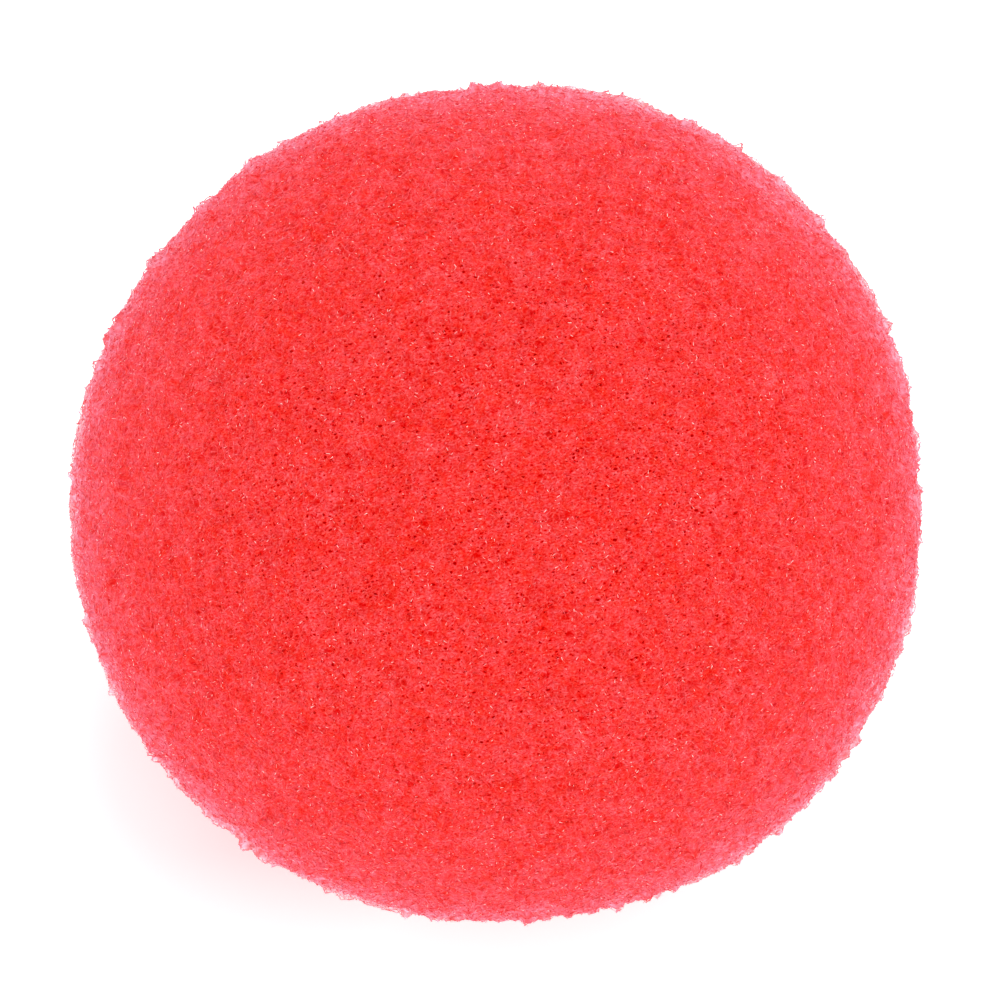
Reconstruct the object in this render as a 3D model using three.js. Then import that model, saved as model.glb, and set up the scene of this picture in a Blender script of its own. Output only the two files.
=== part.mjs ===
// A red foam clown nose: one soft ball with a pocket in its back that the wearer's nose goes into.
// Millimetres, +Z up. The nose stands on its back, so +Z points out of its front, and the origin is the
// middle of the ring that it stands on. X runs across the wearer's face.
import * as THREE from "three";

// Driving dimensions
const ballDiameter = 52; // over its fullest places, before the flats are taken off
const pocketWidth = 24; // the oval pocket, across the wearer's face
const pocketHeight = 15; // the oval pocket, down the wearer's face
const pocketDepth = 25; // from the trimmed back to the end of the pocket
const pocketEndRise = 7; // the last part of that depth, where the pocket rounds to a close
const lipRadius = 1.2; // round edge of the pocket's mouth
const standWidth = 1.2; // the trimmed back beside the mouth, where it is narrowest
const heelRadius = 2.5; // round edge between the trimmed back and the ball
const flatsFadeHeight = 9; // the flats die away over this height above the back

// Facets
const stepsAround = 72;
const steps = { pocketEnd: 6, pocketWall: 4, lip: 4, heel: 4, ball: 27 };

// The ball isn't quite round: it has broad, shallow flats. Each is a row: where its middle lies (degrees round
// +Z from +X, and degrees above the ball's middle), how far it reaches (degrees), and its depth as a share of
// the ball's radius.
const flats = [
  { around: 97, above: 25, reach: 25, depth: 0.031 },
  { around: 280, above: -25, reach: 19, depth: 0.028 },
  { around: 3, above: 1, reach: 25, depth: 0.02 },
  { around: 143, above: 16, reach: 23, depth: 0.021 },
  { around: 249, above: -23, reach: 30, depth: 0.018 },
  { around: 200, above: 48, reach: 24, depth: 0.014 },
  { around: 318, above: 42, reach: 26, depth: 0.016 },
  { around: 52, above: 66, reach: 28, depth: 0.015 },
];

const ballRadius = ballDiameter / 2;
const mouthHalfWidth = pocketWidth / 2 + lipRadius; // where the lip's round edge meets the trimmed back

// The heel's round edge touches the trimmed back and the ball, so its centre is heelRadius from both.
const heelCentre = new THREE.Vector2(mouthHalfWidth + standWidth, heelRadius);
const ballCentre = new THREE.Vector2(
  0,
  heelRadius + Math.sqrt((ballRadius - heelRadius) ** 2 - heelCentre.x ** 2),
);

// An arc of the profile as a list of points: x is the distance from the axis and y the height.
function arc(centre, radiusX, radiusY, from, to, count) {
  return new THREE.EllipseCurve(centre.x, centre.y, radiusX, radiusY, from, to, to < from).getPoints(count);
}

// The pocket's part of the profile, from its closed end down to the mouth, as if it were round.
function pocketProfile() {
  const half = pocketWidth / 2;
  const wallTop = pocketDepth - pocketEndRise;
  const end = arc(new THREE.Vector2(0, wallTop), half, pocketEndRise, Math.PI / 2, 0, steps.pocketEnd);
  const wall = [];
  for (let i = 1; i < steps.pocketWall; i++) {
    wall.push(new THREE.Vector2(half, THREE.MathUtils.lerp(wallTop, lipRadius, i / steps.pocketWall)));
  }
  const lipCentre = new THREE.Vector2(mouthHalfWidth, lipRadius);
  const lip = arc(lipCentre, lipRadius, lipRadius, Math.PI, 1.5 * Math.PI, steps.lip);
  return [...end, ...wall, ...lip];
}

// The ball's part of the profile, from the trimmed back out round the heel and up to the front.
function ballProfile() {
  const leaves = Math.atan2(heelCentre.y - ballCentre.y, heelCentre.x);
  const heel = arc(heelCentre, heelRadius, heelRadius, -Math.PI / 2, leaves, steps.heel);
  const skin = arc(ballCentre, ballRadius, ballRadius, leaves, Math.PI / 2, steps.ball);
  return [...heel, ...skin.slice(1)];
}

// The unit vector from the ball's centre to the middle of a flat.
function middleOf(flat) {
  const fromTop = THREE.MathUtils.degToRad(90 - flat.above);
  const around = THREE.MathUtils.degToRad(flat.around);
  return new THREE.Vector3(
    Math.sin(fromTop) * Math.cos(around),
    Math.sin(fromTop) * Math.sin(around),
    Math.cos(fromTop),
  );
}

// How much of the ball's radius is left in a direction from its centre, once the flats are taken off.
function shareLeft(direction) {
  let taken = 0;
  for (const flat of flats) {
    const away = THREE.MathUtils.radToDeg(direction.angleTo(middleOf(flat)));
    taken += flat.depth * Math.exp(-((away / flat.reach) ** 2));
  }
  return 1 - taken;
}

// Presses the flats into a point of the ball's skin.
function pressFlats(point) {
  const centre = new THREE.Vector3(0, 0, ballCentre.y);
  const fromCentre = point.clone().sub(centre);
  const fade = THREE.MathUtils.smoothstep(point.z, 0, flatsFadeHeight);
  const share = THREE.MathUtils.lerp(1, shareLeft(fromCentre), fade);
  point.copy(centre).addScaledVector(fromCentre, share);
}

// Makes the round pocket oval: its wall is squeezed along Y, and the lip keeps its own width round it.
function squeezePocket(point) {
  const fromAxis = Math.hypot(point.x, point.y);
  const onLip = Math.max(0, fromAxis - pocketWidth / 2);
  const onWall = fromAxis - onLip;
  const around = Math.atan2(point.y, point.x);
  point.x = Math.cos(around) * (onWall + onLip);
  point.y = Math.sin(around) * (onWall * (pocketHeight / pocketWidth) + onLip);
}

// One turned form, from the end of the pocket out through the mouth and round to the front of the ball.
function foamBall() {
  const pocket = pocketProfile();
  const profile = [...pocket, ...ballProfile()];
  profile[0].x = 0;
  profile[profile.length - 1].x = 0;
  const geometry = new THREE.LatheGeometry(profile, stepsAround);
  geometry.rotateX(Math.PI / 2); // the lathe turns about Y, and the nose stands along Z
  const position = geometry.getAttribute("position");
  const point = new THREE.Vector3();
  for (let i = 0; i < position.count; i++) {
    point.fromBufferAttribute(position, i);
    const inPocket = i % profile.length < pocket.length;
    (inPocket ? squeezePocket : pressFlats)(point);
    position.setXYZ(i, point.x, point.y, point.z);
  }
  geometry.computeVertexNormals();
  const foam = new THREE.MeshStandardMaterial({ color: 0xf0242c, roughness: 0.95, metalness: 0 });
  const mesh = new THREE.Mesh(geometry, foam);
  mesh.name = "foam_ball";
  return mesh;
}

const clownNose = new THREE.Group();
clownNose.name = "clown_nose";
clownNose.add(foamBall());

export default clownNose;
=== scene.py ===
"""A red foam clown nose, standing on its trimmed back with its front up.

The foam is built as the real one is: a skin of open cells over the whole ball and down into the pocket,
a finer net of strands over it, and loose cut ends that lie on it. Metres, +Z out of the nose's front.
"""
import math
from itertools import product

import bpy
import numpy as np
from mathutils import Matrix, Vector
from mathutils.geometry import delaunay_2d_cdt


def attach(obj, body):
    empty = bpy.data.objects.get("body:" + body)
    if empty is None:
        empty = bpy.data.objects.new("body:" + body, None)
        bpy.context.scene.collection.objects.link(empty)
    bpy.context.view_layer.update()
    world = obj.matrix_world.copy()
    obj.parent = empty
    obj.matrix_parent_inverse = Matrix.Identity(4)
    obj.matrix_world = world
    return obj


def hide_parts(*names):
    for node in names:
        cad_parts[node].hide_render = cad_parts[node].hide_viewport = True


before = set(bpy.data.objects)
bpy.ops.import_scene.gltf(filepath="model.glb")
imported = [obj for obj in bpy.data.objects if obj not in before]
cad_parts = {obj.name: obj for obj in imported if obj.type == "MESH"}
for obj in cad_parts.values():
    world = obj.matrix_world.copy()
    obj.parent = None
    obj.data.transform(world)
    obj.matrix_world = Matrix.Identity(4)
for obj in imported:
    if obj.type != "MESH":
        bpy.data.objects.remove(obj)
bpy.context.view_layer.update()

MM = 0.001

# The nose's own sizes
BALL_RADIUS = 26 * MM
POCKET_HALF = 12 * MM
POCKET_FLATTER = 15 / 24  # the pocket's height as a share of its width
POCKET_DEPTH = 25 * MM
POCKET_END_RISE = 7 * MM
LIP_RADIUS = 1.2 * MM
STAND_WIDTH = 1.2 * MM
HEEL_RADIUS = 2.5 * MM
FLATS_FADE_HEIGHT = 9 * MM
MOUTH_HALF = POCKET_HALF + LIP_RADIUS
HEEL_MIDDLE = MOUTH_HALF + STAND_WIDTH
BALL_MIDDLE = HEEL_RADIUS + math.sqrt((BALL_RADIUS - HEEL_RADIUS) ** 2 - HEEL_MIDDLE**2)

# The broad, shallow flats of the ball: degrees round +Z from +X, degrees above the ball's middle, reach in
# degrees, and depth as a share of the ball's radius
FLATS = (
    (97, 25, 25, 0.031),
    (280, -25, 19, 0.028),
    (3, 1, 25, 0.020),
    (143, 16, 23, 0.021),
    (249, -23, 30, 0.018),
    (200, 48, 24, 0.014),
    (318, 42, 26, 0.016),
    (52, 66, 28, 0.015),
)

# The skin of cells: the least distance between two middles, how far the corners lie under the nose's surface
# and how much they vary, and the depth of most cells and of the few that were cut wide open
CELL_PITCH = 0.44 * MM
POCKET_CELL_PITCH = 0.62 * MM
SKIN_SINK = 0.08 * MM
CORNER_LIFT = 0.04 * MM
CELL_DEPTH = (0.03 * MM, 0.14 * MM)
OPEN_CELL_DEPTH = (0.18 * MM, 0.34 * MM)
OPEN_SHARE = 0.05
FULLY_SUNK = 0.5 * MM  # the depth at which a cell would have the full painted shade of the depths

# The net of strands over it
NET_PITCH = 0.325 * MM
POCKET_NET_PITCH = 0.65 * MM
NET_SINK = 0.03 * MM
NET_LIFT = 0.035 * MM
NET_STRAY = 0.05 * MM  # how far a corner strays sideways
NET_FOOT = 0.12 * MM  # the strands that the nose stands on lie this far up
STRAND_WIDTH = (0.04 * MM, 0.12 * MM)
STRAND_OVERLAP = 1.1
STRAND_LEAN = 0.04 * MM
STRAND_STRAY = 0.08 * MM

# The loose cut ends: how many to the square metre, and how steeply they stand
CUT_END_DENSITY = 6.6e6
CUT_END_STAND_UP = 0.5
CUT_END_LENGTH = (0.07 * MM, 0.22 * MM)
CUT_END_WIDTH = (0.022 * MM, 0.052 * MM)
CUT_END_RAISE = 0.025 * MM
CUT_END_FOOT = 1.5 * MM  # there are none lower than this

OUTSIDE_FROM = 17 * MM  # the pocket's walls are nearer to the ball's middle than this

# The lumps of the cut foam: size and height of each kind, and the rarer crumbs that stand up
LUMPS = ((2.6 * MM, 0.17 * MM), (1.3 * MM, 0.18 * MM), (0.7 * MM, 0.15 * MM))
LUMPS_SINK = 0.10 * MM
CRUMB_SIZE = 0.8 * MM
CRUMB_HEIGHT = 0.50 * MM
CRUMB_RARITY = 0.42
LUMPS_FADE_HEIGHT = 2 * MM

SEED = 11
MOST_POINTS = 9e7  # more to the square metre than the least distance between two lets through
CHART_RADIUS = 0.49  # of the round charts in their unit square, with a wider ring for the pocket's end
CHART_END_RADIUS = 0.495


class Wire:
    """A socket's output, with the operators that the sums here use. Each one adds a Math node."""

    def __init__(self, nodes, socket):
        self.nodes = nodes
        self.socket = socket

    def out(self, name):
        """Another output of the same node."""
        return Wire(self.nodes, open_socket(self.socket.node.outputs, name))

    def sum(self, operation, first, second):
        return self.nodes.add("ShaderNodeMath", {"operation": operation}, {0: first, 1: second})

    def __add__(self, other):
        return self.sum("ADD", self, other)

    def __radd__(self, other):
        return self.sum("ADD", other, self)

    def __sub__(self, other):
        return self.sum("SUBTRACT", self, other)

    def __rsub__(self, other):
        return self.sum("SUBTRACT", other, self)

    def __mul__(self, other):
        return self.sum("MULTIPLY", self, other)

    def __rmul__(self, other):
        return self.sum("MULTIPLY", other, self)

    def __truediv__(self, other):
        return self.sum("DIVIDE", self, other)

    def __rtruediv__(self, other):
        return self.sum("DIVIDE", other, self)

    def __pow__(self, other):
        return self.sum("POWER", self, other)

    def __gt__(self, other):
        return self.sum("GREATER_THAN", self, other)


def open_socket(sockets, key):
    """The socket with this name, or at this place, among those that the node's settings leave open."""
    open_ones = [socket for socket in sockets if socket.enabled]
    if isinstance(key, int):
        return open_ones[key]
    return next(socket for socket in open_ones if socket.name == key)


class Nodes:
    """Adds nodes to a material or to a tree of geometry nodes."""

    def __init__(self, tree):
        self.tree = tree

    def add(self, kind, settings=None, inputs=None, out=0):
        node = self.tree.nodes.new(kind)
        for name, value in (settings or {}).items():
            if name == "stops":
                self.set_stops(node.color_ramp, value)
            else:
                setattr(node, name, value)
        for key, value in (inputs or {}).items():
            socket = open_socket(node.inputs, key)
            if isinstance(value, Wire):
                self.tree.links.new(value.socket, socket)
            else:
                socket.default_value = value
        if not node.outputs:
            return None
        return Wire(self, open_socket(node.outputs, out))

    def set_stops(self, ramp, stops):
        """Gives a ramp its stops, each (place, grey or colour)."""
        while len(ramp.elements) < len(stops):
            ramp.elements.new(0.5)
        for element, (place, colour) in zip(ramp.elements, stops):
            element.position = place
            element.color = colour if isinstance(colour, tuple) else (colour, colour, colour, 1)

    def random(self, low, high, seed):
        kind = "FLOAT_VECTOR" if isinstance(low, tuple) else "FLOAT"
        ends = {"Min": low, "Max": high, "Seed": seed}
        return self.add("FunctionNodeRandomValue", {"data_type": kind}, ends)

    def vectors(self, operation, first, second):
        return self.add("ShaderNodeVectorMath", {"operation": operation}, {0: first, 1: second})

    def scaled(self, vector, scale):
        return self.add("ShaderNodeVectorMath", {"operation": "SCALE"}, {0: vector, "Scale": scale})

    def named(self, name):
        return self.add("GeometryNodeInputNamedAttribute", {"data_type": "FLOAT_VECTOR"}, {"Name": name})


# Shape

def profile():
    """Half of the nose's section, from the front round the heel, through the mouth to the pocket's end.

    Each row is the distance from the axis, the height, and how far it belongs to the pocket, from 0 to 1.
    """

    def arc(middle, height, across, up, start, stop, count):
        turn = np.radians(np.linspace(start, stop, count))
        return np.stack([middle + across * np.cos(turn), height + up * np.sin(turn)], axis=1)

    leaves = math.degrees(math.atan2(HEEL_RADIUS - BALL_MIDDLE, HEEL_MIDDLE))
    ball = arc(0, BALL_MIDDLE, BALL_RADIUS, BALL_RADIUS, 89.9, leaves, 120)
    heel = arc(HEEL_MIDDLE, HEEL_RADIUS, HEEL_RADIUS, HEEL_RADIUS, leaves, -90, 8)
    lip = arc(MOUTH_HALF, LIP_RADIUS, LIP_RADIUS, LIP_RADIUS, 270, 180, 8)
    wall_top = POCKET_DEPTH - POCKET_END_RISE
    wall_heights = np.linspace(LIP_RADIUS, wall_top, 30)
    wall = np.stack([np.full(30, POCKET_HALF), wall_heights], axis=1)
    end = arc(0, wall_top, POCKET_HALF, POCKET_END_RISE, 0, 89, 30)
    outside = np.concatenate([ball, heel[1:]])
    inside = np.concatenate([lip, wall[1:], end[1:]])
    rows = np.concatenate([outside, inside])
    in_pocket = np.concatenate([np.zeros(len(outside)), np.ones(len(inside))])
    return np.column_stack([rows, in_pocket])


def on_form(rows, around):
    """The points of the nose's surface at rows of the profile and angles round the axis."""
    distance, height, in_pocket = rows[..., 0], rows[..., 1], rows[..., 2]
    squeezed = in_pocket * np.minimum(distance, POCKET_HALF) * (1 - POCKET_FLATTER)
    point = np.stack([distance * np.cos(around), (distance - squeezed) * np.sin(around), height], axis=-1)
    middle = np.array([0, 0, BALL_MIDDLE])
    outward = point - middle
    direction = outward / np.linalg.norm(outward, axis=-1, keepdims=True)
    taken = np.zeros(height.shape)
    for turn, above, reach, depth in FLATS:
        turn, above = math.radians(turn), math.radians(above)
        across = math.cos(above)
        flat = np.array([across * math.cos(turn), across * math.sin(turn), math.sin(above)])
        away = np.degrees(np.arccos(np.clip(direction @ flat, -1, 1)))
        taken += depth * np.exp(-((away / reach) ** 2))
    rise = np.clip(height / FLATS_FADE_HEIGHT, 0, 1)
    fade = rise * rise * (3 - 2 * rise) * (1 - in_pocket)
    return middle + outward * (1 - taken * fade)[..., None]


def charts(rows):
    """Two ways to lay the rows out flat as rings: one keeps small pieces' shape and one their area."""
    points = on_form(rows, np.full(len(rows), math.pi / 4))
    steps = np.linalg.norm(np.diff(points, axis=0), axis=1)
    reach = np.hypot(points[:, 0], points[:, 1])
    halfway = (reach[1:] + reach[:-1]) / 2
    log_ring = math.log(reach[0]) + np.concatenate([[0], np.cumsum(steps / halfway)])
    area = np.concatenate([[0], np.cumsum(steps * halfway)])
    return log_ring, np.sqrt(area / area[-1])


def form_mesh(rows, log_ring):
    """The smooth surface of the nose, with each point's place on the flat chart in an attribute."""
    steps_around = 240
    around = np.linspace(0, 2 * math.pi, steps_around, endpoint=False)
    turns, row_of = np.meshgrid(around, np.arange(len(rows)))
    points = on_form(rows[row_of], turns).reshape(-1, 3)
    ring = np.exp(log_ring)[row_of]
    pocket = rows[row_of][..., 2]
    chart = np.stack([ring * np.cos(turns), ring * np.sin(turns), pocket], axis=-1).reshape(-1, 3)
    front = points[:steps_around].mean(axis=0)
    points = np.concatenate([points, [front]])
    chart = np.concatenate([chart, [[0, 0, 0]]])
    i, j = np.meshgrid(np.arange(len(rows) - 1), np.arange(steps_around), indexing="ij")
    here, there = i * steps_around + j, i * steps_around + (j + 1) % steps_around
    quads = np.stack([here, here + steps_around, there + steps_around, there], axis=-1).reshape(-1, 4)
    tip = len(points) - 1
    cap = [(tip, k, (k + 1) % steps_around) for k in range(steps_around)]
    mesh = bpy.data.meshes.new("form")
    mesh.from_pydata(points.tolist(), [], quads.tolist() + cap)
    attribute = mesh.attributes.new("chart", "FLOAT_VECTOR", "POINT")
    attribute.data.foreach_set("vector", chart.ravel())
    return mesh


def new_tree(name, sockets):
    """A tree of geometry nodes with named inputs, each (name, type), besides the geometry itself."""
    tree = bpy.data.node_groups.new(name, "GeometryNodeTree")
    tree.interface.new_socket("Geometry", in_out="INPUT", socket_type="NodeSocketGeometry")
    for socket_name, kind in sockets:
        tree.interface.new_socket(socket_name, in_out="INPUT", socket_type="NodeSocket" + kind)
    tree.interface.new_socket("Geometry", in_out="OUTPUT", socket_type="NodeSocketGeometry")
    nodes = Nodes(tree)
    return tree, nodes, nodes.add("NodeGroupInput")


def run_tree(mesh, tree, values):
    """Runs a tree on a mesh and gives the plain mesh that comes out."""
    carrier = bpy.data.objects.new("carrier", mesh)
    bpy.context.scene.collection.objects.link(carrier)
    modifier = carrier.modifiers.new("tree", "NODES")
    modifier.node_group = tree
    names = {item.name: item.identifier for item in tree.interface.items_tree if item.in_out == "INPUT"}
    for name, value in values.items():
        modifier[names[name]] = value
    carrier.update_tag()
    graph = bpy.context.evaluated_depsgraph_get()
    graph.update()
    made = bpy.data.meshes.new_from_object(carrier.evaluated_get(graph))
    bpy.data.objects.remove(carrier)
    return made


def middles_tree():
    """Scatters the middles of the cells, evenly but at random, closer on the ball than in the pocket."""
    sockets = [("Ball pitch", "Float"), ("Pocket pitch", "Float"), ("Seed", "Int")]
    tree, nodes, start = new_tree("middles of cells", sockets)
    pocket = nodes.add("ShaderNodeSeparateXYZ", None, {0: nodes.named("chart")}).out("Z")
    in_pocket = nodes.add(
        "FunctionNodeCompare", {"data_type": "FLOAT", "operation": "GREATER_THAN"}, {0: pocket, 1: 0.5}
    )
    parted = nodes.add(
        "GeometryNodeSeparateGeometry",
        {"domain": "FACE"},
        {"Geometry": start.out("Geometry"), "Selection": in_pocket},
    )
    scattered = nodes.add("GeometryNodeJoinGeometry")
    for surface, pitch in ((parted.out("Inverted"), "Ball pitch"), (parted, "Pocket pitch")):
        points = nodes.add(
            "GeometryNodeDistributePointsOnFaces",
            {"distribute_method": "POISSON"},
            {
                "Mesh": surface,
                "Distance Min": start.out(pitch),
                "Density Max": MOST_POINTS,
                "Seed": start.out("Seed"),
            },
        )
        tree.links.new(points.socket, scattered.socket.node.inputs[0])
    vertices = nodes.add("GeometryNodePointsToVertices", None, {"Points": scattered})
    nodes.add("NodeGroupOutput", None, {"Geometry": vertices})
    return tree


def read_points(mesh, name=None):
    values = np.empty(len(mesh.vertices) * 3)
    if name:
        mesh.attributes[name].data.foreach_get("vector", values)
    else:
        mesh.vertices.foreach_get("co", values)
    return values.reshape(-1, 3)


def joined(points, chart):
    """Joins neighbouring points by triangles, and closes them at the pocket's end with one more point."""
    flat = [Vector((x, y)) for x, y, _ in chart]
    _, _, faces, sources, _, _ = delaunay_2d_cdt(flat, [], [], 0, 0.0, True)
    source = np.array([ids[0] for ids in sources])
    triangles = source[np.array(faces)]
    starts, ends = triangles.ravel(), np.roll(triangles, -1, axis=1).ravel()
    size = len(points) + 1
    keys, twins = starts * size + ends, ends * size + starts
    rim = ~np.isin(twins, keys)
    tip = np.full(rim.sum(), len(points))
    closing = np.stack([ends[rim], starts[rim], tip], axis=1)
    return np.concatenate([points, [[0, 0, POCKET_DEPTH]]]), np.concatenate([triangles, closing])


def normals_at(points, triangles):
    a, b, c = (points[triangles[:, k]] for k in range(3))
    face = np.cross(b - a, c - a)
    normal = np.zeros(points.shape)
    for k in range(3):
        np.add.at(normal, triangles[:, k], face)
    return normal / np.linalg.norm(normal, axis=1, keepdims=True)


class Cells:
    """Cells that cover the whole surface: their middles, their corners, and the ways that these are joined.

    Each triangle of three neighbouring middles has a corner of three cells in it. Each of its sides, in
    turn, runs from one middle to the next, and has another triangle across it.
    """

    def __init__(self, form, ball_pitch, pocket_pitch, seed):
        values = {"Ball pitch": ball_pitch, "Pocket pitch": pocket_pitch, "Seed": seed}
        scattered = run_tree(form, middles_tree(), values)
        self.chart = read_points(scattered, "chart")
        self.middles, self.triangles = joined(read_points(scattered), self.chart)
        count = len(self.middles)
        self.normals = normals_at(self.middles, self.triangles)
        self.corners = self.middles[self.triangles].mean(axis=1)
        outward = self.normals[self.triangles].mean(axis=1)
        self.outward = outward / np.linalg.norm(outward, axis=1, keepdims=True)
        self.starts = self.triangles.ravel()
        ends = np.roll(self.triangles, -1, axis=1).ravel()
        self.here = np.repeat(np.arange(len(self.triangles)), 3)
        keys, twins = self.starts * count + ends, ends * count + self.starts
        order = np.argsort(keys)
        self.across = self.here[order[np.searchsorted(keys, twins, sorter=order)]]

    def edges(self):
        """The pairs of corners that an edge of a cell joins."""
        once = self.here < self.across
        return np.stack([self.here[once], self.across[once]], axis=1)

    def at_cells(self, of_corners):
        """The mean over each cell of what its corners have."""
        total = np.zeros(self.middles.shape)
        np.add.at(total, self.starts, of_corners[self.here])
        return total / np.bincount(self.starts, minlength=len(self.middles))[:, None]


def random_heights(points, size, seed):
    """Smooth random heights at points in space, from -1 to 1, with bumps of about this size."""
    steps = 96
    grid = np.random.default_rng(seed).uniform(-1, 1, (steps, steps, steps))
    at = points / size + steps / 2
    first = np.floor(at).astype(int)
    part = at - first
    part = part * part * (3 - 2 * part)
    heights = np.zeros(len(points))
    for corner in product((0, 1), repeat=3):
        weight = np.where(corner, part, 1 - part).prod(axis=1)
        i, j, k = ((first + corner) % steps).T
        heights += weight * grid[i, j, k]
    return heights


def lumps(points):
    """How far the foam stands proud in broad lumps and in the small crumbs that its cutting left."""
    height = sum(deep * random_heights(points, size, SEED + n) for n, (size, deep) in enumerate(LUMPS))
    crumbs = random_heights(points, CRUMB_SIZE, SEED + 20)
    height += CRUMB_HEIGHT * np.clip((crumbs - CRUMB_RARITY) / (1 - CRUMB_RARITY), 0, 1) - LUMPS_SINK
    return height * np.clip(points[:, 2] / LUMPS_FADE_HEIGHT, 0, 1)


def flat_places(cells, log_ring, even_ring):
    """Where the middles of the cells lie in a square, on the chart that keeps area."""
    ring = np.maximum(np.hypot(cells.chart[:, 0], cells.chart[:, 1]), 1e-9)
    reach = np.interp(np.log(ring), log_ring, even_ring) * CHART_RADIUS
    places = 0.5 + cells.chart[:, :2] * (reach / ring)[:, None]
    return np.concatenate([places, [[0.5, 0.5]]])


def skin_mesh(cells, places, random):
    """The open cells: each is a ring of corners round a sunk middle."""
    lift = random.uniform(-1, 1, len(cells.corners)) * CORNER_LIFT - SKIN_SINK + lumps(cells.corners)
    corners = cells.corners + cells.outward * lift[:, None]
    middles = cells.at_cells(corners)
    is_open = random.random(len(middles)) < OPEN_SHARE
    shallow = random.uniform(*CELL_DEPTH, len(middles))
    deep = random.uniform(*OPEN_CELL_DEPTH, len(middles))
    depth = np.where(is_open, deep, shallow)
    middles -= cells.normals * depth[:, None]
    faces = np.stack([len(corners) + cells.starts, cells.across, cells.here], axis=1)
    mesh = bpy.data.meshes.new("foam_skin")
    mesh.from_pydata(np.concatenate([corners, middles]).tolist(), [], faces.tolist())
    # Each cell's depth, which the cells' material turns into painted shade
    sunk = mesh.attributes.new("sunk", "FLOAT", "POINT")
    sunk.data.foreach_set("value", np.concatenate([np.zeros(len(corners)), depth / FULLY_SUNK]))
    on_face = np.concatenate([places[cells.triangles].mean(axis=1), places])[faces]
    last = cells.starts == len(middles) - 1
    outer = on_face[last, 1:].mean(axis=1) - 0.5
    on_face[last, 0] = 0.5 + outer * (CHART_END_RADIUS / np.linalg.norm(outer, axis=1, keepdims=True))
    layer = mesh.uv_layers.new(name="OFBake")
    layer.data.foreach_set("uv", on_face.ravel())
    return mesh


def template(name, vertices, faces):
    mesh = bpy.data.meshes.new(name)
    mesh.from_pydata(vertices, [], faces)
    shape = bpy.data.objects.new(name, mesh)
    bpy.context.scene.collection.objects.link(shape)
    return shape


def net_strand():
    """A unit long and wide: a blade that turns a quarter over its length."""
    vertices = [(-0.5, 0, -0.5), (0.5, 0, -0.5), (0, -0.5, 0.5), (0, 0.5, 0.5)]
    return template("net_strand", vertices, [(0, 1, 2), (1, 0, 3), (0, 2, 3), (1, 3, 2)])


def net_tree():
    """Lays a strand along each edge of the mesh that comes in. Some lean out of it."""
    sockets = [
        ("Strand", "Object"),
        ("Thinnest", "Float"),
        ("Thickest", "Float"),
        ("Overlap", "Float"),
        ("Lean", "Float"),
        ("Stray", "Float"),
        ("Seed", "Int"),
        ("Material", "Material"),
    ]
    tree, nodes, start = new_tree("strands along edges", sockets)
    seed = start.out("Seed")
    ends = nodes.add("GeometryNodeInputMeshEdgeVertices")
    span = nodes.vectors("SUBTRACT", ends.out("Position 2"), ends.out("Position 1"))
    stored = start.out("Geometry")
    for name, value in (("span", span), ("away", nodes.named("outward"))):
        stored = nodes.add(
            "GeometryNodeStoreNamedAttribute",
            {"data_type": "FLOAT_VECTOR", "domain": "EDGE"},
            {"Geometry": stored, "Name": name, "Value": value},
        )
    points = nodes.add("GeometryNodeMeshToPoints", {"mode": "EDGES"}, {"Mesh": stored})
    lean = nodes.random(-1.0, 1.0, seed + 3) * start.out("Lean")
    span = nodes.vectors("ADD", nodes.named("span"), nodes.scaled(nodes.named("away"), lean))
    turn = nodes.scaled(nodes.random((-1, -1, -1), (1, 1, 1), seed + 4), start.out("Stray"))
    span = nodes.vectors("ADD", span, turn)
    along = nodes.add("FunctionNodeAlignRotationToVector", {"axis": "Z"}, {"Vector": span})
    length = nodes.add("ShaderNodeVectorMath", {"operation": "LENGTH"}, {0: span}, "Value")
    finish_strands(nodes, start, points, rolled(nodes, along, seed), length * start.out("Overlap"))
    return tree


def cut_ends_tree():
    """Scatters loose strands over the mesh that comes in. They lie along it, and some tilt out of it."""
    sockets = [
        ("Strand", "Object"),
        ("Density", "Float"),
        ("Stand up", "Float"),
        ("Shortest", "Float"),
        ("Longest", "Float"),
        ("Thinnest", "Float"),
        ("Thickest", "Float"),
        ("Raise", "Float"),
        ("Seed", "Int"),
        ("Material", "Material"),
    ]
    tree, nodes, start = new_tree("cut ends", sockets)
    seed = start.out("Seed")
    points = nodes.add(
        "GeometryNodeDistributePointsOnFaces",
        {"distribute_method": "RANDOM"},
        {"Mesh": start.out("Geometry"), "Density": start.out("Density"), "Seed": seed},
    )
    normal = points.out("Normal")
    aside = nodes.vectors("CROSS_PRODUCT", normal, nodes.random((-1, -1, -1), (1, 1, 1), seed))
    rise = nodes.random(-0.2, 1.0, seed + 6) * start.out("Stand up")
    lean = nodes.vectors("ADD", nodes.scaled(normal, rise), aside)
    along = nodes.add("FunctionNodeAlignRotationToVector", {"axis": "Z"}, {"Vector": lean})
    length = nodes.random(start.out("Shortest"), start.out("Longest"), seed + 2)
    raised = nodes.add(
        "GeometryNodeSetPosition",
        None,
        {"Geometry": points, "Offset": nodes.scaled(normal, start.out("Raise"))},
    )
    finish_strands(nodes, start, raised, rolled(nodes, along, seed), length)
    return tree


def rolled(nodes, rotation, seed):
    """Rolls each strand about its own length by a random angle."""
    angle = nodes.random(0.0, 6.2832, seed + 1)
    roll = nodes.add("FunctionNodeAxisAngleToRotation", None, {"Axis": (0, 0, 1), "Angle": angle})
    return nodes.add(
        "FunctionNodeRotateRotation", {"rotation_space": "LOCAL"}, {"Rotation": rotation, "Rotate By": roll}
    )


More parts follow.
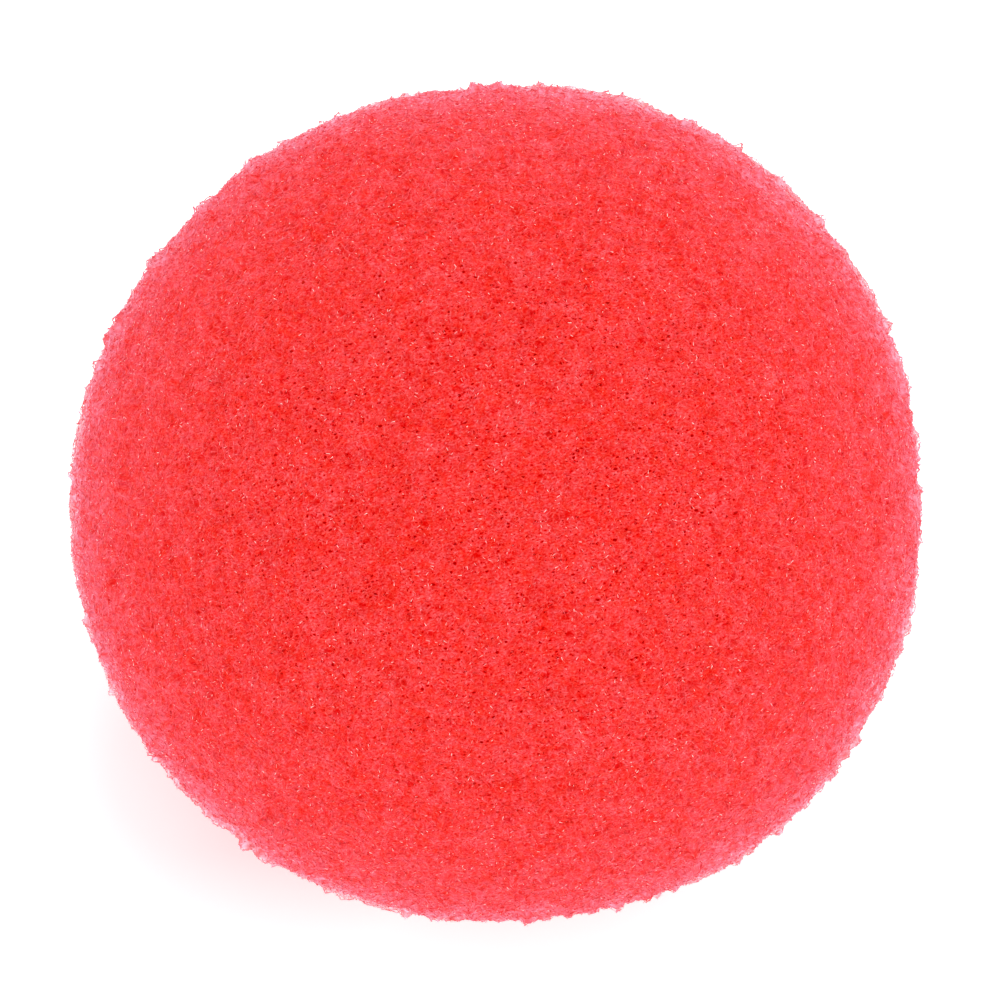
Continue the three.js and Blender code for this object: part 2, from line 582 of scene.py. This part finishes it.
def finish_strands(nodes, start, points, rotation, length):
    """Puts the strands on their points, each with its own width and tone, as one mesh with a material."""
    seed = start.out("Seed")
    width = nodes.random(start.out("Thinnest"), start.out("Thickest"), seed + 5)
    strand = nodes.add("GeometryNodeObjectInfo", None, {"Object": start.out("Strand")}, "Geometry")
    strands = nodes.add(
        "GeometryNodeInstanceOnPoints",
        None,
        {
            "Points": points,
            "Instance": strand,
            "Rotation": rotation,
            "Scale": nodes.add("ShaderNodeCombineXYZ", None, {"X": width, "Y": width, "Z": length}),
        },
    )
    toned = nodes.add(
        "GeometryNodeStoreNamedAttribute",
        {"data_type": "FLOAT", "domain": "INSTANCE"},
        {"Geometry": strands, "Name": "tone", "Value": nodes.random(0.0, 1.0, seed + 7)},
    )
    plain = nodes.add("GeometryNodeRealizeInstances", None, {"Geometry": toned})
    finished = nodes.add(
        "GeometryNodeSetMaterial", None, {"Geometry": plain, "Material": start.out("Material")}
    )
    nodes.add("NodeGroupOutput", None, {"Geometry": finished})


def lines_mesh(corners, outward, edges):
    """Edges of cells as a mesh of loose lines, with the way out of the foam in an attribute."""
    used, renumbered = np.unique(edges, return_inverse=True)
    mesh = bpy.data.meshes.new("lines")
    mesh.from_pydata(corners[used].tolist(), renumbered.reshape(-1, 2).tolist(), [])
    attribute = mesh.attributes.new("outward", "FLOAT_VECTOR", "POINT")
    attribute.data.foreach_set("vector", outward[used].ravel())
    return mesh


def spread_strands(mesh):
    """Gives a mesh of strands a flat chart: each strand where it lies on the ball."""
    points = read_points(mesh) - np.array([0, 0, BALL_MIDDLE])
    reach = np.linalg.norm(points, axis=1)
    from_front = np.arccos(np.clip(points[:, 2] / reach, -1, 1))
    around = np.arctan2(points[:, 1], points[:, 0])
    ring = CHART_RADIUS * np.sin(from_front / 2)
    place = 0.5 + np.stack([ring * np.cos(around), ring * np.sin(around)], axis=1)
    corners = np.empty(len(mesh.loops), dtype=np.int32)
    mesh.loops.foreach_get("vertex_index", corners)
    layer = mesh.uv_layers.new(name="OFBake")
    layer.data.foreach_set("uv", place[corners].ravel())


def add_piece(name, mesh):
    piece = bpy.data.objects.new(name, mesh)
    bpy.context.scene.collection.objects.link(piece)
    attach(piece, "root")
    return piece


# Finish

# The reds of the foam's fine mottle, from its lows to its highs
MOTTLE_REDS = (
    (0.24, (0.73, 0.002, 0.001, 1)),
    (0.34, (0.815, 0.011, 0.005, 1)),
    (0.50, (0.884, 0.0305, 0.0095, 1)),
    (0.64, (0.902, 0.065, 0.039, 1)),
    (0.80, (0.925, 0.141, 0.105, 1)),
)
# Painted glint: the pale colour that some cut ends take
CUT_END_PAINTED_GLINT = (1.0, 0.76, 0.70, 1)
# Painted shade of the pores: a deeper red round each, and a dark red in it
PORE_RIM_SHADE_RED = (0.83, 0.002, 0.001, 1)
PORE_SHADE_RED = (0.36, 0.0, 0.0, 1)
# Painted shade: the deeper red that the cells take on down in their depths
DEPTHS_SHADE_RED = (0.94, 0.003, 0.002, 1)
# Painted sheen: the pale fuzz over the foam, pinker at the rim, and the red fuzz that closes over the
# painted pore shade at a slant
PALE_FUZZ_SHEEN = (0.94, 0.56, 0.88, 1)
PALE_FUZZ_SHEEN_AT_RIM = (0.94, 0.60, 0.67, 1)
FUZZ_RED = (0.89, 0.036, 0.018, 1)

# Sizes of the patterns, and for the blots their pitch, largest radius and share
MOTTLE_SIZE = 0.105 * MM
BROAD_SIZE = 1.8 * MM
TUFT_SIZE = 0.4 * MM
CUT_END_TUFT_SIZE = 1.6 * MM
# Painted shade: the soft redder dips, and below them the dark pores
SHADED_DIPS = (0.55 * MM, 0.22 * MM, 0.9)
PORES = (0.18 * MM, 0.088 * MM, 0.38)

# The patterns are drawn out along a slanting line, and bent out of true
SLANT = math.radians(13)
DRAWN_OUT = 1.5
BEND_SIZE = 0.3 * MM
BEND = 0.12 * MM

CELLS_ROUGHNESS = 0.8
STRANDS_ROUGHNESS = 0.4
STRANDS_SPECULAR = 0.05
# How dark the painted pore shade is on the strands
STRANDS_PORED = 0.25


def new_material(name):
    material = bpy.data.materials.new(name)
    material.use_nodes = True
    material.node_tree.nodes.clear()
    return material, Nodes(material.node_tree)


def level_place(nodes):
    """Where a point would be if the foam outside lay level on the ball.

    Strands and cells share a pattern by it. Its other results are the way out of the ball there, and 1
    outside or 0 in the pocket.
    """
    place = nodes.add("ShaderNodeTexCoord", None, None, "Object")
    from_middle = nodes.vectors("SUBTRACT", place, (0, 0, BALL_MIDDLE))
    reach = nodes.add("ShaderNodeVectorMath", {"operation": "LENGTH"}, {0: from_middle}, "Value")
    outside = reach > OUTSIDE_FROM
    level = nodes.scaled(from_middle, 1 + outside * (BALL_RADIUS / reach - 1))
    outward = nodes.add("ShaderNodeVectorMath", {"operation": "NORMALIZE"}, {0: from_middle})
    return level, outward, outside


def blots(nodes, place, pitch, largest, share):
    """How far a point lies inside the nearest of many small blots scattered through the foam, in metres.

    Only this share of the places for them has one, and their radii go from nothing to the largest.
    Most are small.
    """
    away = nodes.add("ShaderNodeTexVoronoi", None, {"Vector": place, "Scale": 1 / pitch}, "Distance")
    kind = nodes.add("ShaderNodeSeparateColor", None, {0: away.out("Color")}, "Red")
    return largest * ramped(nodes, kind, share, 0.0) ** 1.5 - away * pitch


def ramped(nodes, value, low, high, top=1.0):
    """A value that rises from 0 at low to its top at high."""
    ends = {"Value": value, "From Min": low, "From Max": high, "To Max": top}
    return nodes.add("ShaderNodeMapRange", None, ends, "Result")


def mixed(nodes, factor, first, second):
    return nodes.add("ShaderNodeMix", {"data_type": "RGBA"}, {"Factor": factor, "A": first, "B": second})


def noise(nodes, place, size, detail):
    values = {"Vector": place, "Scale": 1 / size, "Detail": detail}
    return nodes.add("ShaderNodeTexNoise", None, values, "Fac")


def foam_shader(nodes, tone, deep, pale, pored, roughness, specular):
    """Red foam: a fine mottle, with painted shade in soft redder dips and small dark pores, under a painted
    sheen of thin pale fuzz.

    The tone makes it lighter or darker than the rest, deep is how far a point lies down in a cell and so how
    much painted shade of the depths it gets, pale is how far a strand carries a painted glint, and pored is
    how dark its painted pore shade is. The fuzz is a painted sheen: it thickens towards the rim and the tops
    of the mottle, and closes over the pores where they are seen at a slant.
    """
    level, outward, outside = level_place(nodes)
    bend = noise(nodes, level, BEND_SIZE, 0.0).out("Color")
    bent = nodes.vectors("ADD", level, nodes.scaled(bend, BEND))
    place = nodes.add(
        "ShaderNodeMapping",
        {"vector_type": "TEXTURE"},
        {"Vector": bent, "Rotation": (0, 0, SLANT), "Scale": (DRAWN_OUT, 1, 1)},
    )
    # Painted shade: soft blots where the mottle turns a deeper red, as in shallow hollows
    dips = ramped(nodes, blots(nodes, place, *SHADED_DIPS), 0.0, 0.10 * MM)
    broad = noise(nodes, level, BROAD_SIZE, 1.0) - 0.5
    in_pore = blots(nodes, place, *PORES)
    mottle = noise(nodes, place, MOTTLE_SIZE, 1.0)
    specks = nodes.add("ShaderNodeSeparateColor", None, {0: mottle.out("Color")}, "Green")
    normal = nodes.add("ShaderNodeNewGeometry", None, None, "Normal")
    both = {0: normal, 1: outward}
    upright = nodes.add("ShaderNodeVectorMath", {"operation": "DOT_PRODUCT"}, both, "Value")
    # Painted shade of the pores: dark blots and specks, each with a deeper red rim, only on faces that look
    # out of the ball
    open_to_see = pored * ramped(nodes, upright, 0.45, 0.95)
    pores = open_to_see * (ramped(nodes, in_pore, 0.0, 0.02 * MM) + ramped(nodes, specks, 0.33, 0.27))
    pore_rim_shade = open_to_see * (
        ramped(nodes, in_pore, -0.03 * MM, 0.0) + ramped(nodes, specks, 0.37, 0.315)
    )
    height = 0.06 + 0.88 * mottle + tone + 0.10 * broad - 0.2 * dips
    red = nodes.add("ShaderNodeValToRGB", {"stops": MOTTLE_REDS}, {"Fac": height})
    # Painted glints on some cut ends
    red = mixed(nodes, pale, red, CUT_END_PAINTED_GLINT)
    red = mixed(nodes, pore_rim_shade, red, PORE_RIM_SHADE_RED)
    red = mixed(nodes, pores, red, PORE_SHADE_RED)
    # Painted shade down in the cells: a deeper red by how far a point lies down in one
    red = mixed(nodes, deep, red, DEPTHS_SHADE_RED)
    foam = nodes.add(
        "ShaderNodeBsdfPrincipled",
        None,
        {"Base Color": red, "Roughness": roughness, "Specular IOR Level": specular},
    )
    # Painted sheen: a pale fuzz mixed over the foam by how slant its surface is seen, thicker at the rim and
    # on the tops of the mottle
    facing = nodes.add("ShaderNodeLayerWeight", None, {"Blend": 0.5, "Normal": outward}, "Facing")
    rim = facing**7.4
    tufts = ramped(nodes, noise(nodes, level, TUFT_SIZE, 0.0), 0.3, 0.7, 2.0)
    share = 0.048 / (1.07 - facing) * (0.55 + 0.45 * tufts + 1.1 * broad) + 0.20 * rim * (1 + tufts)
    on_top = 1 + (1 - 0.9 * facing) * (ramped(nodes, height, 0.26, 0.70, 1.8) - 1)
    over_pores = 1 - pore_rim_shade * ramped(nodes, facing, 0.75, 0.30)
    sheen_share = share * on_top * outside * over_pores * (1 - deep)
    red_share = pore_rim_shade * ramped(nodes, facing, 0.15, 0.60) * (1 - sheen_share)
    share = sheen_share + red_share
    pale_fuzz_sheen = mixed(nodes, rim, PALE_FUZZ_SHEEN, PALE_FUZZ_SHEEN_AT_RIM)
    fuzz_colour = mixed(nodes, red_share / (share + 0.0001), pale_fuzz_sheen, FUZZ_RED)
    fuzz = nodes.add(
        "ShaderNodeBsdfPrincipled",
        None,
        {"Base Color": fuzz_colour, "Roughness": 0.9, "Specular IOR Level": 0.1},
    )
    return nodes.add("ShaderNodeMixShader", None, {0: share, 1: foam, 2: fuzz})


def skin_material():
    """The foam under the strands, with painted shade that turns it a deeper red down in the cells."""
    material, nodes = new_material("red foam, cells")
    sunk = nodes.add("ShaderNodeAttribute", {"attribute_name": "sunk"}, None, "Fac")
    foam = foam_shader(nodes, 0.0, sunk, 0.0, 1.0, CELLS_ROUGHNESS, 0.0)
    nodes.add("ShaderNodeOutputMaterial", None, {"Surface": foam})
    return material


def strand_material():
    """The strands: each has its own tone, and they are glossier than the cells."""
    material, nodes = new_material("red foam, strands")
    tone = nodes.add("ShaderNodeAttribute", {"attribute_name": "tone"}, None, "Fac")
    own_tone = 0.16 * (tone - 0.4)
    foam = foam_shader(nodes, own_tone, 0.0, 0.0, STRANDS_PORED, STRANDS_ROUGHNESS, STRANDS_SPECULAR)
    nodes.add("ShaderNodeOutputMaterial", None, {"Surface": foam})
    return material


def cut_end_material():
    """The loose cut ends: some of them carry a painted glint, pale at random tones and in clusters."""
    material, nodes = new_material("red foam, cut ends")
    tone = nodes.add("ShaderNodeAttribute", {"attribute_name": "tone"}, None, "Fac")
    place = nodes.add("ShaderNodeTexCoord", None, None, "Object")
    tufted = ramped(nodes, noise(nodes, place, CUT_END_TUFT_SIZE, 1.0), 0.35, 0.65, 2.0)
    # Painted glints: the lightest tones, in clusters, turn pale
    pale = ramped(nodes, tone, 0.45, 1.0) ** 2.0
    foam = foam_shader(nodes, 0.10 * tone, 0.0, pale * tufted, 0.0, STRANDS_ROUGHNESS, STRANDS_SPECULAR)
    nodes.add("ShaderNodeOutputMaterial", None, {"Surface": foam})
    return material


# The nose

def build_nose():
    random = np.random.default_rng(SEED)
    rows = profile()
    log_ring, even_ring = charts(rows)
    form = form_mesh(rows, log_ring)

    cells = Cells(form, CELL_PITCH, POCKET_CELL_PITCH, SEED)
    skin = skin_mesh(cells, flat_places(cells, log_ring, even_ring), random)
    skin.materials.append(skin_material())
    ball = add_piece("foam_skin", skin)
    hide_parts("foam_ball")

    strands = strand_material()
    net = Cells(form, NET_PITCH, POCKET_NET_PITCH, SEED + 1)
    lift = random.normal(-NET_SINK, NET_LIFT, len(net.corners)) + lumps(net.corners)
    corners = net.corners + net.outward * lift[:, None]
    corners += random.uniform(-NET_STRAY, NET_STRAY, corners.shape)
    corners[:, 2] = np.maximum(corners[:, 2], NET_FOOT)
    edges = net.edges()
    strand = net_strand()
    tree = net_tree()
    quarter = (corners[edges[:, 0], 0] > 0) * 2 + (corners[edges[:, 0], 1] > 0)
    for number in range(4):
        values = {
            "Strand": strand,
            "Thinnest": STRAND_WIDTH[0],
            "Thickest": STRAND_WIDTH[1],
            "Overlap": STRAND_OVERLAP,
            "Lean": STRAND_LEAN,
            "Stray": STRAND_STRAY,
            "Seed": SEED,
            "Material": strands,
        }
        mesh = run_tree(lines_mesh(corners, net.outward, edges[quarter == number]), tree, values)
        spread_strands(mesh)
        add_piece(f"strand_net_{number + 1}", mesh)

    tree = cut_ends_tree()
    cut_ends_with_painted_glints = cut_end_material()
    from_middle = np.linalg.norm(net.corners - [0, 0, BALL_MIDDLE], axis=1)
    is_outer = (net.corners[:, 2] > CUT_END_FOOT) & (from_middle > OUTSIDE_FROM)
    lumpy = net.middles + net.normals * lumps(net.middles)[:, None]
    for number, side in enumerate((net.corners[:, 0] <= 0, net.corners[:, 0] > 0)):
        outer = bpy.data.meshes.new("outer")
        outer.from_pydata(lumpy.tolist(), [], net.triangles[is_outer & side].tolist())
        values = {
            "Strand": strand,
            "Density": CUT_END_DENSITY,
            "Stand up": CUT_END_STAND_UP,
            "Shortest": CUT_END_LENGTH[0],
            "Longest": CUT_END_LENGTH[1],
            "Thinnest": CUT_END_WIDTH[0],
            "Thickest": CUT_END_WIDTH[1],
            "Raise": CUT_END_RAISE,
            "Seed": SEED + 10 + number,
            "Material": cut_ends_with_painted_glints,
        }
        mesh = run_tree(outer, tree, values)
        spread_strands(mesh)
        add_piece(f"cut_ends_{number + 1}", mesh)
    bpy.data.objects.remove(strand)


# The studio

ROOM_STRENGTH = 1.19
WINDOW_TURN = math.radians(40)
WINDOW_ABOVE = math.radians(42)
WINDOW_DISTANCE = 0.6
WINDOW_SIZE = 0.35
WINDOW_ENERGY = 0.35

# The nose's shade, painted into the table's glow: where it is deepest, and where it begins and is full
SHADE_MIDDLE = (-19 * MM, -9 * MM, 0)
SHADE_REACH = (16 * MM, 6 * MM)

# The camera, and the ball's radius and middle in the picture, in pixels
CAMERA_ABOVE = math.radians(65)
LENS = 135
SENSOR = 36
PICTURE_WIDTH = 1000
PICTURE_RADIUS = 424
PICTURE_MIDDLE = (499.2, 503.6)
MEAN_SHARE = 0.9864  # the flats make the ball's mean radius this share of its full one


def build_table():
    """A white table that glows evenly, with the nose's pink shade painted into its glow."""
    bpy.ops.mesh.primitive_plane_add(size=4)
    table = bpy.context.object
    table.name = "white_table"
    material, nodes = new_material("white table")
    place = nodes.add("ShaderNodeTexCoord", None, None, "Object")
    # Painted shade: the glow turns pink round a point to the lower left of the nose, where the window would
    # throw its shadow
    from_shade = nodes.add(
        "ShaderNodeVectorMath", {"operation": "DISTANCE"}, {0: place, 1: SHADE_MIDDLE}, "Value"
    )
    shade = ramped(nodes, from_shade, *SHADE_REACH)
    white = nodes.add(
        "ShaderNodeBsdfPrincipled",
        None,
        {
            "Base Color": (0.93, 0.93, 0.93, 1),
            "Roughness": 0.6,
            "Emission Color": mixed(nodes, shade, (1, 1, 1, 1), (0.95, 0.44, 0.47, 1)),
            "Emission Strength": 0.44,
        },
    )
    nodes.add("ShaderNodeOutputMaterial", None, {"Surface": white})
    table.data.materials.append(material)


def build_light():
    """A white room, and a window high at the right."""
    world = bpy.data.worlds.new("white room")
    world.use_nodes = True
    background = world.node_tree.nodes["Background"]
    background.inputs["Color"].default_value = (1, 1, 1, 1)
    background.inputs["Strength"].default_value = ROOM_STRENGTH
    bpy.context.scene.world = world
    bpy.context.scene.view_settings.view_transform = "Standard"

    across = math.cos(WINDOW_ABOVE)
    toward = Vector((across * math.cos(WINDOW_TURN), across * math.sin(WINDOW_TURN), math.sin(WINDOW_ABOVE)))
    light = bpy.data.lights.new("window", "AREA")
    light.size = WINDOW_SIZE
    light.energy = WINDOW_ENERGY
    window = bpy.data.objects.new("window", light)
    bpy.context.scene.collection.objects.link(window)
    window.location = Vector((0, 0, BALL_MIDDLE)) + toward * WINDOW_DISTANCE
    window.rotation_mode = "QUATERNION"
    window.rotation_quaternion = toward.to_track_quat("Z", "Y")


def build_camera():
    """A camera that looks down at the front of the nose."""
    focal = LENS / SENSOR * PICTURE_WIDTH
    distance = BALL_RADIUS * MEAN_SHARE * math.sqrt((focal / PICTURE_RADIUS) ** 2 + 1)
    back = Vector((0, -math.cos(CAMERA_ABOVE), math.sin(CAMERA_ABOVE)))
    up = Vector((0, math.sin(CAMERA_ABOVE), math.cos(CAMERA_ABOVE)))
    camera = bpy.data.objects.new("camera", bpy.data.cameras.new("camera"))
    bpy.context.scene.collection.objects.link(camera)
    camera.data.lens = LENS
    camera.data.sensor_width = SENSOR
    camera.data.clip_start = 0.01
    camera.rotation_mode = "QUATERNION"
    camera.rotation_quaternion = back.to_track_quat("Z", "Y")
    aside = (PICTURE_WIDTH / 2 - PICTURE_MIDDLE[0]) / focal * distance
    above = (PICTURE_MIDDLE[1] - PICTURE_WIDTH / 2) / focal * distance
    middle = Vector((0, 0, BALL_MIDDLE))
    camera.location = middle + back * distance + Vector((1, 0, 0)) * aside + up * above
    bpy.context.scene.camera = camera


build_table()
build_light()
build_camera()
build_nose()
